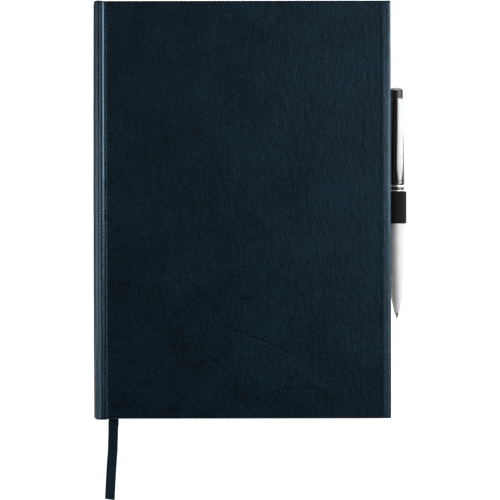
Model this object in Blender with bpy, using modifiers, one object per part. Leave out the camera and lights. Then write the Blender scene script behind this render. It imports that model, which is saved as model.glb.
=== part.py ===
"""A case-bound pilot logbook with a ribbon bookmark and a twist pen in an elastic loop.

The book lies on its back cover. +Y is the head, the spine is at -X and the front cover is up.
The origin is on the underside of the back cover, midway between head and tail and between the
spine and the fore-edge. Sizes are written in millimetres and turned into metres by MM.
"""

import math

import bmesh
import bpy
from mathutils import Matrix, Vector

MM = 0.001

# The case: leather-covered boards with a French groove at the spine.
SPINE_X = -89.1 * MM  # outside of the spine
FORE_EDGE_X = 89.1 * MM  # outside of the covers at the fore-edge
COVER_HALF = 125.2 * MM  # half the covers' height, along Y
SPINE_LEATHER_HALF = 125.8 * MM  # the spine's leather stands proud of the boards at head and tail
BOOK_THICK = 19.0 * MM
LEATHER = 0.5 * MM
TURN_IN_THICK = 0.4 * MM
TURN_IN_WIDTH = 15.0 * MM
BOARD = 2.4 * MM
PAPER = 0.2 * MM
GLUE_GAP = 0.15 * MM  # between layers that are glued together
AIR_GAP = 0.3 * MM  # between pieces that move apart
LEAF_GAP = 0.2 * MM
SQUARE = 3.1 * MM  # how far the covers stand past the pages

# The hinges: the covers turn about the middle of the spine's rounded shoulders.
HINGE_X = -85.7 * MM
SHOULDER_RADIUS = HINGE_X - SPINE_X
BACK_HINGE_Z = 3.5 * MM
FRONT_HINGE_Z = BOOK_THICK - BACK_HINGE_Z
COVER_SPINE_SIDE = -81.45 * MM  # where the covers' leather begins
GROOVE_END_X = -81.9 * MM  # where the spine's leather ends
GROOVE_DEPTH = 3.0 * MM  # from the covers' face to the bottom of the groove
GROOVE_START_ANGLE = 14.0  # degrees round the shoulder, where it meets the groove

# The book block.
BLOCK_SPINE_X = -85.5 * MM
BLOCK_FORE_X = FORE_EDGE_X - SQUARE
BLOCK_HALF = COVER_HALF - SQUARE
LEAF_SPINE_X = -81.3 * MM  # the gutter, where the flyleaves turn
LEAF_STAGGER = 0.3 * MM  # each leaf under a flyleaf turns this much further from the spine
SIGNATURES = 8
SIGNATURE_GAP = 0.12 * MM
RIBBON_SLOT = 0.6 * MM  # the opening between two signatures that holds the ribbon
BAND_RADIUS = 0.75 * MM

# The ribbon bookmark.
RIBBON_WIDTH = 6.0 * MM
RIBBON_THICK = 0.22 * MM
RIBBON_STEPS = 48

# The pen and its loop.
PEN_X = 93.0 * MM
PEN_Z = BOOK_THICK / 2
LOOP_INNER = 5.1 * MM
LOOP_OUTER = 5.9 * MM
LOOP_LOW_Y = -8.4 * MM
LOOP_HIGH_Y = 10.9 * MM
LOOP_TAB_X = 64.0 * MM
CLIP_TURN = math.radians(22.0)  # the clip stands this far round from straight up, towards +X
CLIP_WIDTH = 4.4 * MM
CLIP_END_WIDTH = 2.5 * MM
CAP_SLANT = math.radians(16.0)
TURN_STEPS = 24

BLACK = (0.006, 0.006, 0.007)
NAVY = (0.012, 0.020, 0.032)
PAPER_WHITE = (0.78, 0.75, 0.66)
SILVER = (0.72, 0.73, 0.75)
BRASS = (0.62, 0.46, 0.20)

LOOKS = {
    "leather": (NAVY, 0.45, 0.0),
    "board": ((0.28, 0.24, 0.19), 0.9, 0.0),
    "endpaper": ((0.70, 0.67, 0.58), 0.8, 0.0),
    "paper": (PAPER_WHITE, 0.85, 0.0),
    "gauze": ((0.75, 0.73, 0.68), 0.95, 0.0),
    "band": ((0.05, 0.08, 0.13), 0.6, 0.0),
    "ribbon": ((0.010, 0.018, 0.028), 0.35, 0.0),
    "elastic": ((0.012, 0.012, 0.013), 0.85, 0.0),
    "black lacquer": (BLACK, 0.12, 0.0),
    "satin silver": (SILVER, 0.30, 1.0),
    "chrome": ((0.85, 0.86, 0.88), 0.06, 1.0),
    "brass": (BRASS, 0.3, 1.0),
    "steel": ((0.55, 0.55, 0.56), 0.3, 1.0),
    "grey plastic": ((0.26, 0.27, 0.30), 0.4, 0.0),
    "white plastic": ((0.75, 0.75, 0.75), 0.4, 0.0),
}


def clear_scene():
    for thing in list(bpy.data.objects):
        bpy.data.objects.remove(thing, do_unlink=True)


def make_collection(name):
    group = bpy.data.collections.new(name)
    bpy.context.scene.collection.children.link(group)
    return group


def material(look):
    found = bpy.data.materials.get(look)
    if found:
        return found
    colour, roughness, metallic = LOOKS[look]
    made = bpy.data.materials.new(look)
    made.use_nodes = True
    shader = made.node_tree.nodes["Principled BSDF"]
    shader.inputs["Base Color"].default_value = (*colour, 1.0)
    shader.inputs["Roughness"].default_value = roughness
    shader.inputs["Metallic"].default_value = metallic
    return made


clear_scene()
PARTS = make_collection("pilot_logbook")
CUTTERS = make_collection("cutters")


# Helpers that make pieces.


def pivot(name, place):
    """An empty on a joint's axis, which the pieces that move together are parented to."""
    empty = bpy.data.objects.new(name, None)
    empty.location = place
    empty.empty_display_size = 0.01
    PARTS.objects.link(empty)
    return empty


def hang(part, on):
    """Parents a piece to a pivot and leaves it where it is."""
    part.parent = on
    part.matrix_parent_inverse = Matrix.Translation(on.location).inverted()
    return part


def add_part(name, data, look, on=None):
    part = bpy.data.objects.new(name, data)
    PARTS.objects.link(part)
    if look:
        data.materials.clear()
        data.materials.append(material(look))
    if on:
        hang(part, on)
    return part


def cube_mesh(name, size):
    shape = bmesh.new()
    bmesh.ops.create_cube(shape, size=1.0, matrix=Matrix.Diagonal((*size, 1.0)))
    mesh = bpy.data.meshes.new(name)
    shape.to_mesh(mesh)
    shape.free()
    return mesh


def box(name, low, high, look, on=None, rounding=0.0):
    """A block between two corners, with its edges rounded by a bevel."""
    low, high = Vector(low), Vector(high)
    part = add_part(name, cube_mesh(name, high - low), look, on)
    part.location = (low + high) / 2
    if rounding:
        bevel = part.modifiers.new("rounded edges", "BEVEL")
        bevel.width = rounding
        bevel.segments = 2
    return part


def cutter(name, low, high, tilt=(0.0, 0.0, 0.0)):
    low, high = Vector(low), Vector(high)
    tool = bpy.data.objects.new(name, cube_mesh(name, high - low))
    tool.location = (low + high) / 2
    tool.rotation_euler = tilt
    tool.hide_render = True
    tool.display_type = "WIRE"
    CUTTERS.objects.link(tool)
    return tool


def cut(part, tool):
    boolean = part.modifiers.new("cut by " + tool.name, "BOOLEAN")
    boolean.operation = "DIFFERENCE"
    boolean.solver = "EXACT"
    boolean.object = tool


def flat_curve(name, outlines, thick):
    """A 2D curve filled between its outlines, with its thickness along its own Z."""
    curve = bpy.data.curves.new(name, "CURVE")
    curve.dimensions = "2D"
    curve.fill_mode = "BOTH"
    curve.extrude = thick / 2
    for outline in outlines:
        spline = curve.splines.new("POLY")
        spline.points.add(len(outline) - 1)
        for point, (x, y) in zip(spline.points, outline):
            point.co = (x, y, 0.0, 1.0)
        spline.use_cyclic_u = True
    return curve


def extrusion(name, outlines, low_y, high_y, look, on=None):
    """A prism along Y, whose outlines are given as (x, z)."""
    part = add_part(name, flat_curve(name, outlines, high_y - low_y), look, on)
    part.rotation_euler = (math.pi / 2, 0.0, 0.0)
    part.location = (0.0, (low_y + high_y) / 2, 0.0)
    return part


def arc(centre, radius, start, end, steps):
    """Points round an arc, with angles in degrees from +X towards +Z."""
    points = []
    for step in range(steps + 1):
        angle = math.radians(start + (end - start) * step / steps)
        points.append((centre[0] + radius * math.cos(angle), centre[1] + radius * math.sin(angle)))
    return points


def turned(name, profile, look, on, closed=True, steps=TURN_STEPS):
    """A piece turned about the pen's axis. The profile holds (radius, y), down its outer side."""
    mesh = bpy.data.meshes.new(name)
    count = len(profile)
    edges = [(i, i + 1) for i in range(count - 1)]
    if closed:
        edges.append((count - 1, 0))
    mesh.from_pydata([(radius, 0.0, y) for radius, y in profile], edges, [])
    part = add_part(name, mesh, look, on)
    part.location = (PEN_X, 0.0, PEN_Z)
    part.rotation_euler = (-math.pi / 2, 0.0, 0.0)
    screw = part.modifiers.new("turned", "SCREW")
    screw.axis = "Z"
    screw.angle = math.tau
    screw.steps = steps
    screw.render_steps = steps
    screw.use_merge_vertices = True
    screw.merge_threshold = 0.00001
    screw.use_smooth_shade = False
    return part


def tube(name, outer, inner, low_y, high_y, look, on, steps=TURN_STEPS):
    profile = [(outer, high_y), (outer, low_y), (inner, low_y), (inner, high_y)]
    return turned(name, profile, look, on, steps=steps)


def smooth_profile(points, steps):
    """A curve through (radius, y) points, with a few steps between each pair."""
    ends = [points[0], *points, points[-1]]
    line = []
    for before, start, end, after in zip(ends, ends[1:], ends[2:], ends[3:]):
        for step in range(steps):
            t = step / steps
            line.append(tuple(through(p, t) for p in zip(before, start, end, after)))
    line.append(points[-1])
    return line


def through(four, t):
    """Catmull-Rom: the value at t between the second and the third of four."""
    a, b, c, d = four
    bend = (2 * a - 5 * b + 4 * c - d) * t * t + (3 * b - a - 3 * c + d) * t * t * t
    return b + 0.5 * ((c - a) * t + bend)


# The covers. Each is built from its outer face inwards, and the front is the back turned over.


def facing(side, depth):
    """The height that lies this far in from the outer face of the back or the front cover."""
    return depth if side == "back" else BOOK_THICK - depth


def layer(side, shallow, deep):
    heights = (facing(side, shallow), facing(side, deep))
    return min(heights), max(heights)


BOARD_AT = LEATHER + GLUE_GAP
TURN_IN_AT = BOARD_AT + BOARD + GLUE_GAP
PASTEDOWN_AT = TURN_IN_AT + TURN_IN_THICK + GLUE_GAP
COVER_INSIDE = PASTEDOWN_AT + PAPER
BOARD_SIDE = LEATHER + GLUE_GAP  # from the leather's outside to the board's edge


def cover_leather(side, on):
    """Leather over the outside, round the edges and turned in on three sides."""
    low, high = layer(side, 0.0, TURN_IN_AT + TURN_IN_THICK)
    skin = box(
        side + "_leather",
        (COVER_SPINE_SIDE, -COVER_HALF, low),
        (FORE_EDGE_X, COVER_HALF, high),
        "leather",
        on,
        rounding=0.35 * MM,
    )
    low, high = layer(side, LEATHER, TURN_IN_AT)
    pocket = cutter(
        side + "_leather_pocket",
        (COVER_SPINE_SIDE + LEATHER, -COVER_HALF + LEATHER, low),
        (FORE_EDGE_X - LEATHER, COVER_HALF - LEATHER, high),
    )
    cut(skin, pocket)
    overshoot = 1.0 * MM
    low, high = layer(side, TURN_IN_AT - GLUE_GAP, TURN_IN_AT + TURN_IN_THICK + overshoot)
    window = cutter(
        side + "_leather_window",
        (COVER_SPINE_SIDE - overshoot, -COVER_HALF + TURN_IN_WIDTH, low),
        (FORE_EDGE_X - TURN_IN_WIDTH, COVER_HALF - TURN_IN_WIDTH, high),
    )
    cut(skin, window)
    return skin


def cover_board(side, on):
    low, high = layer(side, BOARD_AT, BOARD_AT + BOARD)
    box(
        side + "_board",
        (COVER_SPINE_SIDE + BOARD_SIDE, -COVER_HALF + BOARD_SIDE, low),
        (FORE_EDGE_X - BOARD_SIDE, COVER_HALF - BOARD_SIDE, high),
        "board",
        on,
        rounding=0.2 * MM,
    )


def cover_pastedown(side, on):
    low, high = layer(side, PASTEDOWN_AT, COVER_INSIDE)
    box(
        side + "_pastedown",
        (COVER_SPINE_SIDE + BOARD_SIDE, -BLOCK_HALF, low),
        (BLOCK_FORE_X, BLOCK_HALF, high),
        "endpaper",
        on,
    )


def notch_for_loop(skin):
    """The turned-in leather makes room for the loop's tab at the fore-edge of the back cover."""
    tool = cutter(
        "loop_notch",
        (LOOP_TAB_X, LOOP_LOW_Y - AIR_GAP, TURN_IN_AT - GLUE_GAP),
        (FORE_EDGE_X + LEATHER, LOOP_HIGH_Y + AIR_GAP, TURN_IN_AT + LEATHER * 2),
    )
    cut(skin, tool)


def covers(front, back):
    for side, on in (("front", front), ("back", back)):
        skin = cover_leather(side, on)
        cover_board(side, on)
        cover_pastedown(side, on)
        if side == "back":
            notch_for_loop(skin)


# The spine: leather over a board, rounded at the shoulders and pressed into the grooves.


def spine_half(side, radius, groove_depth):
    """From the end of a groove round a shoulder to the spine's flat back, as (x, z)."""
    centre = (HINGE_X, facing("front", BACK_HINGE_Z))
    groove_z = facing("front", groove_depth)
    groove = [(GROOVE_END_X, groove_z), (GROOVE_END_X - LEATHER, groove_z)]
    line = groove + arc(centre, radius, GROOVE_START_ANGLE, 180.0, 16)
    if side == "back":
        line = [(x, BOOK_THICK - z) for x, z in line]
    return line


def spine():
    outer_radius, inner_radius = SHOULDER_RADIUS, SHOULDER_RADIUS - LEATHER
    outside = spine_half("front", outer_radius, GROOVE_DEPTH)
    outside += reversed(spine_half("back", outer_radius, GROOVE_DEPTH))
    inside = spine_half("back", inner_radius, GROOVE_DEPTH + LEATHER)
    inside += reversed(spine_half("front", inner_radius, GROOVE_DEPTH + LEATHER))
    extrusion("spine_leather", [outside + inside], -SPINE_LEATHER_HALF, SPINE_LEATHER_HALF, "leather")

    board_thick = 1.8 * MM
    board_left = SPINE_X + LEATHER + AIR_GAP
    board_high = FRONT_HINGE_Z + 0.7 * MM
    board_half = COVER_HALF - BOARD_SIDE
    box(
        "spine_board",
        (board_left, -board_half, BOOK_THICK - board_high),
        (board_left + board_thick, board_half, board_high),
        "board",
        rounding=0.2 * MM,
    )


# The book block.


def block_heights():
    """The bottom and top of the sewn signatures, under the front leaves and over the back one."""
    bottom = COVER_INSIDE + AIR_GAP + PAPER + LEAF_GAP
    top = BOOK_THICK - COVER_INSIDE - AIR_GAP - 3 * (PAPER + LEAF_GAP)
    return bottom, top


def signatures():
    bottom, top = block_heights()
    gaps = (SIGNATURES - 2) * SIGNATURE_GAP + RIBBON_SLOT
    thick = (top - bottom - gaps) / SIGNATURES
    low = bottom
    ribbon_z = None
    for number in range(1, SIGNATURES + 1):
        box(
            f"signature_{number:02d}",
            (BLOCK_SPINE_X, -BLOCK_HALF, low),
            (BLOCK_FORE_X, BLOCK_HALF, low + thick),
            "paper",
            rounding=0.1 * MM,
        )
        low += thick
        if number == SIGNATURES // 2:
            ribbon_z = low + RIBBON_SLOT / 2
            low += RIBBON_SLOT
        else:
            low += SIGNATURE_GAP
    return ribbon_z


def spine_linings():
    bottom, top = block_heights()
    mull_x = BLOCK_SPINE_X - GLUE_GAP
    lining_x = mull_x - PAPER - GLUE_GAP
    inset = 4.0 * MM
    box(
        "mull",
        (mull_x - PAPER, -BLOCK_HALF + inset, bottom),
        (mull_x, BLOCK_HALF - inset, top),
        "gauze",
    )
    box(
        "spine_lining",
        (lining_x - PAPER, -BLOCK_HALF + inset, bottom),
        (lining_x, BLOCK_HALF - inset, top),
        "paper",
    )


def end_band(name, y):
    """The sewn bead across the block's spine at the head or the tail."""
    bottom, top = block_heights()
    curve = bpy.data.curves.new(name, "CURVE")
    curve.dimensions = "3D"
    curve.bevel_depth = BAND_RADIUS
    curve.bevel_resolution = 2
    curve.use_fill_caps = True
    spline = curve.splines.new("POLY")
    spline.points.add(1)
    x = BLOCK_SPINE_X + BAND_RADIUS
    for point, z in zip(spline.points, (bottom, top)):
        point.co = (x, y, z, 1.0)
    add_part(name, curve, "band")


def leaf(name, spine_x, height):
    """A leaf that turns about its own edge in the gutter."""
    on = pivot(name + "_pivot", (spine_x, 0.0, height + PAPER / 2))
    low = (spine_x, -BLOCK_HALF, height)
    high = (BLOCK_FORE_X, BLOCK_HALF, height + PAPER)
    box(name, low, high, "paper", on)


def leaves():
    height = BOOK_THICK - COVER_INSIDE - AIR_GAP - PAPER
    for number, name in enumerate(("front_flyleaf", "log_leaf_1", "log_leaf_2")):
        leaf(name, LEAF_SPINE_X + number * LEAF_STAGGER, height)
        height -= PAPER + LEAF_GAP
    leaf("back_flyleaf", LEAF_SPINE_X, COVER_INSIDE + AIR_GAP)


def ribbon_route(height):
    """Where the ribbon's centre line runs: between two signatures, out of the tail and down."""
    tail = -BLOCK_HALF
    floor = RIBBON_THICK / 2 + 0.1 * MM
    ahead = [
        (0.0, 0.0, 0.0),
        (4.0, 0.1, 0.2),
        (8.0, 0.2, 1.1),
        (13.0, 0.4, 3.2),
        (18.0, 0.7, 5.6),
        (23.0, 0.9, 7.6),
    ]
    route = [(-82.0 * MM, BLOCK_HALF - 2.0 * MM, height)]
    route += [(-80.4 * MM, 60.0 * MM, height), (-78.7 * MM, -30.0 * MM, height)]
    for out, left, drop in ahead:
        route.append((-76.9 * MM - left * MM, tail - out * MM, height - drop * MM))
    route += [
        (-78.1 * MM, tail - 29.0 * MM, floor + 0.3 * MM),
        (-78.6 * MM, tail - 38.0 * MM, floor),
        (-79.2 * MM, tail - 51.1 * MM, floor),
    ]
    return route


def along(route, steps):
    """Evenly shared steps on the smooth curve through the route's points."""
    ends = [route[0], *route, route[-1]]
    spans = len(route) - 1
    points = []
    for step in range(steps + 1):
        place = min(step / steps * spans, spans - 1e-9)
        first = int(place)
        four = ends[first : first + 4]
        points.append(Vector([through(axis, place - first) for axis in zip(*four)]))
    return points


def ribbon(height):
    """A flat strip along the route, level across its width."""
    centre = along(ribbon_route(height), RIBBON_STEPS)
    shape = bmesh.new()
    bmesh.ops.create_grid(shape, x_segments=1, y_segments=RIBBON_STEPS, size=1.0)
    for vertex in shape.verts:
        step = round((vertex.co.y + 1.0) / 2.0 * RIBBON_STEPS)
        before, after = centre[max(step - 1, 0)], centre[min(step + 1, RIBBON_STEPS)]
        across = (after - before).cross(Vector((0.0, 0.0, 1.0))).normalized()
        vertex.co = centre[step] + across * (vertex.co.x * RIBBON_WIDTH / 2)
    bmesh.ops.recalc_face_normals(shape, faces=shape.faces)
    mesh = bpy.data.meshes.new("ribbon_bookmark")
    shape.to_mesh(mesh)
    shape.free()
    part = add_part("ribbon_bookmark", mesh, "ribbon")
    thickness = part.modifiers.new("thickness", "SOLIDIFY")
    thickness.thickness = RIBBON_THICK
    thickness.offset = 0.0


# The pen loop: a band of elastic round the pen, with a tab under the back pastedown.


def pen_loop(on):
    centre = (PEN_X, PEN_Z)
    round_the_pen = arc(centre, LOOP_OUTER, 214.0, -115.0, 36)
    low, high = TURN_IN_AT, TURN_IN_AT + TURN_IN_THICK
    tab = [
        (88.6 * MM, low + 0.05 * MM),
        (87.9 * MM, low),
        (LOOP_TAB_X + AIR_GAP, low),
        (LOOP_TAB_X + AIR_GAP, high),
        (87.0 * MM, high),
        (87.7 * MM, high + 0.6 * MM),
    ]
    hole = arc(centre, LOOP_INNER, 0.0, 350.0, 35)
    extrusion("pen_loop", [round_the_pen + tab, hole], LOOP_LOW_Y, LOOP_HIGH_Y, "elastic", on)


# The pen, from its point to its cap.

PEN_TIP_Y = -65.1 * MM
NOSE_Y = -61.2 * MM
REFILL_TOP_Y = 29.0 * MM
REFILL_RADIUS = 1.5 * MM
SHOULDER_Y = -50.0 * MM  # where the refill's tube ends and its metal point begins
NOSE_BORE = 1.35 * MM
SPRING_BORE = 2.15 * MM
SPRING_SEAT_Y = -57.0 * MM
BARREL_BORE = 3.7 * MM
RING_RADIUS = 4.95 * MM
SLEEVE_OUTER = 3.5 * MM
SLEEVE_INNER = 2.4 * MM


def lower_barrel(on):
    outside = smooth_profile(
        [
            (4.86 * MM, 10.7 * MM),
            (4.88 * MM, -8.0 * MM),
            (4.62 * MM, -28.0 * MM),
            (4.14 * MM, -42.0 * MM),
            (3.35 * MM, -52.2 * MM),
            (1.65 * MM, NOSE_Y),
        ],
        3,
    )
    inside = [
        (NOSE_BORE, NOSE_Y),
        (NOSE_BORE, SPRING_SEAT_Y),
        (SPRING_BORE, SPRING_SEAT_Y),
        (SPRING_BORE, SHOULDER_Y + 1.0 * MM),
        (BARREL_BORE, -34.0 * MM),
        (BARREL_BORE, 10.7 * MM),
    ]
    turned("pen_lower_barrel", outside + inside, "satin silver", on)


def upper_barrel(on):
    outside = smooth_profile(
        [
            (3.88 * MM, 66.75 * MM),
            (4.35 * MM, 48.0 * MM),
            (4.75 * MM, 28.0 * MM),
            (4.86 * MM, 14.75 * MM),
        ],
        3,
    )
    inside = [
        (3.9 * MM, 14.75 * MM),
        (3.75 * MM, 30.0 * MM),
        (3.1 * MM, 60.0 * MM),
        (3.1 * MM, 66.75 * MM),
    ]
    turned("pen_upper_barrel", outside + inside, "black lacquer", on)


def pen_rings(lower, upper):
    tube("pen_lower_ring", RING_RADIUS, SLEEVE_OUTER + AIR_GAP, 10.85 * MM, 11.8 * MM, "chrome", lower)
    tube("pen_band", 4.8 * MM, SLEEVE_OUTER + AIR_GAP, 11.95 * MM, 13.2 * MM, "black lacquer", lower)
    tube("pen_upper_ring", RING_RADIUS, SLEEVE_OUTER + AIR_GAP, 13.35 * MM, 14.6 * MM, "chrome", upper)


def pen_cap(on):
    """The black end, cut off at a slant, with a grey disc set on the slanted face."""
    end_y, middle_y, disc_thick = 73.2 * MM, 72.2 * MM, 0.5 * MM
    cap = turned(
        "pen_cap",
        [(0.0, end_y), (3.72 * MM, end_y), (3.86 * MM, 67.6 * MM), (0.0, 67.6 * MM)],
        "black lacquer",
        on,
        closed=False,
    )
    reach = 8.0 * MM
    above = Vector((PEN_X, middle_y - disc_thick, PEN_Z))
    above += Vector((0.0, math.cos(CAP_SLANT), math.sin(CAP_SLANT))) * (reach / 2)
    half = Vector((reach, reach / 2, reach))
    cut(cap, cutter("cap_slant", above - half, above + half, (CAP_SLANT, 0.0, 0.0)))

    shape = bmesh.new()
    bmesh.ops.create_cone(
        shape, cap_ends=True, segments=TURN_STEPS, radius1=3.3 * MM, radius2=3.3 * MM, depth=disc_thick
    )
    mesh = bpy.data.meshes.new("pen_cap_disc")
    shape.to_mesh(mesh)
    shape.free()
    disc = add_part("pen_cap_disc", mesh, "grey plastic", on)
    disc.rotation_euler = (CAP_SLANT - math.pi / 2, 0.0, 0.0)
    disc.location = (PEN_X, middle_y, PEN_Z)


def clip_places():
    """The clip's outward direction and the direction across it."""
    outward = Vector((math.sin(CLIP_TURN), 0.0, math.cos(CLIP_TURN)))
    across = Vector((math.cos(CLIP_TURN), 0.0, -math.sin(CLIP_TURN)))
    return outward, across


def pen_clip(on_barrel):
    """A tapered strap beside the barrel, which springs out about its foot on the clip ring."""
    tube("pen_clip_ring", 3.6 * MM, 1.2 * MM, 66.95 * MM, 67.4 * MM, "steel", on_barrel)
    top_y, foot_y, taper_y, low_y = 67.3 * MM, 66.3 * MM, 23.5 * MM, 17.2 * MM
    foot_r, inner_r, outer_r = 4.2 * MM, 5.2 * MM, 6.0 * MM
    side_view = [
        (foot_r, top_y),
        (foot_r, foot_y),
        (inner_r, foot_y),
        (inner_r, taper_y),
        (inner_r, low_y),
        (outer_r, low_y),
        (outer_r, taper_y),
        (outer_r, top_y),
    ]
    outward, across = clip_places()
    axis_at = Vector((PEN_X, 66.9 * MM, PEN_Z)) + outward * 4.6 * MM
    on = pivot("pen_clip_pivot", axis_at)

    guide = bpy.data.objects.new("clip_guide", flat_curve("clip_guide", [side_view], CLIP_WIDTH))
    PARTS.objects.link(guide)
    bpy.context.view_layer.update()
    evaluated = guide.evaluated_get(bpy.context.evaluated_depsgraph_get())
    mesh = bpy.data.meshes.new_from_object(evaluated)
    bpy.data.objects.remove(guide, do_unlink=True)
    shape = bmesh.new()
    shape.from_mesh(mesh)
    bmesh.ops.remove_doubles(shape, verts=shape.verts, dist=0.00001)
    for vertex in shape.verts:
        radius, y, offset = vertex.co
        down = max(0.0, (taper_y - y) / (taper_y - low_y))
        offset *= 1.0 + down * (CLIP_END_WIDTH / CLIP_WIDTH - 1.0)
        vertex.co = Vector((PEN_X, y, PEN_Z)) + outward * radius - across * offset
    bmesh.ops.recalc_face_normals(shape, faces=shape.faces)
    shape.to_mesh(mesh)
    shape.free()
    add_part("pen_clip", mesh, "satin silver", on)


def refill(on):
    steps = 16
    turned(
        "refill_tube",
        [(0.0, REFILL_TOP_Y), (REFILL_RADIUS, REFILL_TOP_Y), (REFILL_RADIUS, SHOULDER_Y), (0.0, SHOULDER_Y)],
        "white plastic",
        on,
        closed=False,
        steps=steps,
    )
    joint_y = SHOULDER_Y - GLUE_GAP
    turned(
        "refill_point",
        [
            (0.0, joint_y),
            (REFILL_RADIUS, joint_y),
            (REFILL_RADIUS, joint_y - 0.9 * MM),
            (1.15 * MM, joint_y - 1.2 * MM),
            (1.15 * MM, NOSE_Y - 1.0 * MM),
            (0.75 * MM, NOSE_Y - 1.4 * MM),
            (0.36 * MM, PEN_TIP_Y + 0.6 * MM),
            (0.0, PEN_TIP_Y + 0.6 * MM),
        ],
        "brass",
        on,
        closed=False,
        steps=steps,
    )
    shape = bmesh.new()
    bmesh.ops.create_uvsphere(shape, u_segments=12, v_segments=8, radius=0.27 * MM)
    mesh = bpy.data.meshes.new("refill_ball")
    shape.to_mesh(mesh)
    shape.free()
    ball = add_part("refill_ball", mesh, "steel", on)
    ball.location = (PEN_X, PEN_TIP_Y + 0.27 * MM, PEN_Z)
    turned(
        "pen_plunger",
        [
            (0.0, 46.0 * MM),
            (1.6 * MM, 46.0 * MM),
            (1.6 * MM, REFILL_TOP_Y + AIR_GAP),
            (0.0, REFILL_TOP_Y + AIR_GAP),
        ],
        "white plastic",
        on,
        closed=False,
        steps=steps,
    )


def pen_spring(on):
    """The return spring round the refill's point, squeezed while the point is out."""
    wire, radius, turns, points_a_turn = 0.18 * MM, 1.75 * MM, 5, 12
    low, high = SPRING_SEAT_Y + 0.4 * MM, SHOULDER_Y - 1.7 * MM
    curve = bpy.data.curves.new("pen_spring", "CURVE")
    curve.dimensions = "3D"
    curve.bevel_depth = wire
    curve.bevel_resolution = 1
    curve.use_fill_caps = True
    count = turns * points_a_turn
    spline = curve.splines.new("POLY")
    spline.points.add(count)
    for step, point in enumerate(spline.points):
        angle = math.tau * step / points_a_turn
        y = low + (high - low) * step / count
        point.co = (radius * math.cos(angle), y, radius * math.sin(angle), 1.0)
    part = add_part("pen_spring", curve, "steel", on)
    part.location = (PEN_X, 0.0, PEN_Z)


def pen(on_cover):
    """The pen slides in the loop; its upper half twists on the lower half."""
    lower = hang(pivot("pen_slide", (PEN_X, 0.0, PEN_Z)), on_cover)
    upper = hang(pivot("pen_twist", (PEN_X, 14.7 * MM, PEN_Z)), lower)
    inner = hang(pivot("refill_slide", (PEN_X, 0.0, PEN_Z)), lower)
    bpy.context.view_layer.update()
    lower_barrel(lower)
    tube("pen_coupling_sleeve", SLEEVE_OUTER, SLEEVE_INNER, -6.0 * MM, 25.0 * MM, "brass", lower)
    pen_spring(lower)
    pen_rings(lower, upper)
    upper_barrel(upper)
    tube("pen_twist_cam", 2.7 * MM, 1.95 * MM, 31.0 * MM, 52.0 * MM, "white plastic", upper)
    pen_cap(upper)
    pen_clip(upper)
    refill(inner)


front_hinge = pivot("front_cover_hinge", (HINGE_X, 0.0, FRONT_HINGE_Z))
back_hinge = pivot("back_cover_hinge", (HINGE_X, 0.0, BACK_HINGE_Z))
covers(front_hinge, back_hinge)
spine()
ribbon(signatures())
spine_linings()
end_band("head_band", BLOCK_HALF + BAND_RADIUS + AIR_GAP)
end_band("tail_band", -BLOCK_HALF - BAND_RADIUS - AIR_GAP)
leaves()
pen_loop(back_hinge)
pen(back_hinge)
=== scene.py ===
"""The looks of the pilot logbook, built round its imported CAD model.

Lengths are in millimetres in the tables below and in metres everywhere else.
"""

import math
import random

import bmesh
import bpy
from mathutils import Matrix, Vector, noise


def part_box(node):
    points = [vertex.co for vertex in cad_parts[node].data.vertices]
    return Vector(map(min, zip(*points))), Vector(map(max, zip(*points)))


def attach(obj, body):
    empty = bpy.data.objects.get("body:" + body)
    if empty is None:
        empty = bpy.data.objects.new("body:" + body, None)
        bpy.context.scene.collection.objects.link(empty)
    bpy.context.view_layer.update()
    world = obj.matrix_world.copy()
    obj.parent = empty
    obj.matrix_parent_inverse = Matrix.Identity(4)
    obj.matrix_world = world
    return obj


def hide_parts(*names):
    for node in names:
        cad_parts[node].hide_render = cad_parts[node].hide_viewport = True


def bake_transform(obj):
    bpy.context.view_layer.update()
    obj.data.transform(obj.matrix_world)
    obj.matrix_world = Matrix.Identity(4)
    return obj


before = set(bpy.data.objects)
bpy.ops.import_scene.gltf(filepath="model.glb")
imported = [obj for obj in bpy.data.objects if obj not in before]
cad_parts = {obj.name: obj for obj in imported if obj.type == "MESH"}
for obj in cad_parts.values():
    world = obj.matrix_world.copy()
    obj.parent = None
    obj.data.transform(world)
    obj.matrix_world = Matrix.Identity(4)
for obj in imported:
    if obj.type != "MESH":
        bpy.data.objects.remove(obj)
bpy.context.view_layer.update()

MM = 0.001
BOOK_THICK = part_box("front_leather")[1].z
COVER_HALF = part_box("front_leather")[1].y


# The camera, the floor and the light.


def camera():
    """A long lens, straight above the book, with the head of the book at the top."""
    data = bpy.data.cameras.new("camera")
    data.lens = 200.0
    data.sensor_width = 36.0
    data.clip_end = 20.0
    placed = bpy.data.objects.new("camera", data)
    placed.location = (4.56 * MM, -24.2 * MM, 1682.5 * MM)
    placed.rotation_euler.z = math.radians(-0.1)
    bpy.context.scene.collection.objects.link(placed)
    bpy.context.scene.camera = placed


def softbox(name, place, width, height, watts):
    """A rectangular lamp that faces the book."""
    data = bpy.data.lights.new(name, "AREA")
    data.shape = "RECTANGLE"
    data.size = width
    data.size_y = height
    data.energy = watts
    lamp = bpy.data.objects.new(name, data)
    lamp.location = place
    lamp.rotation_euler = (-Vector(place)).to_track_quat("-Z", "Y").to_euler()
    bpy.context.scene.collection.objects.link(lamp)


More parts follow.
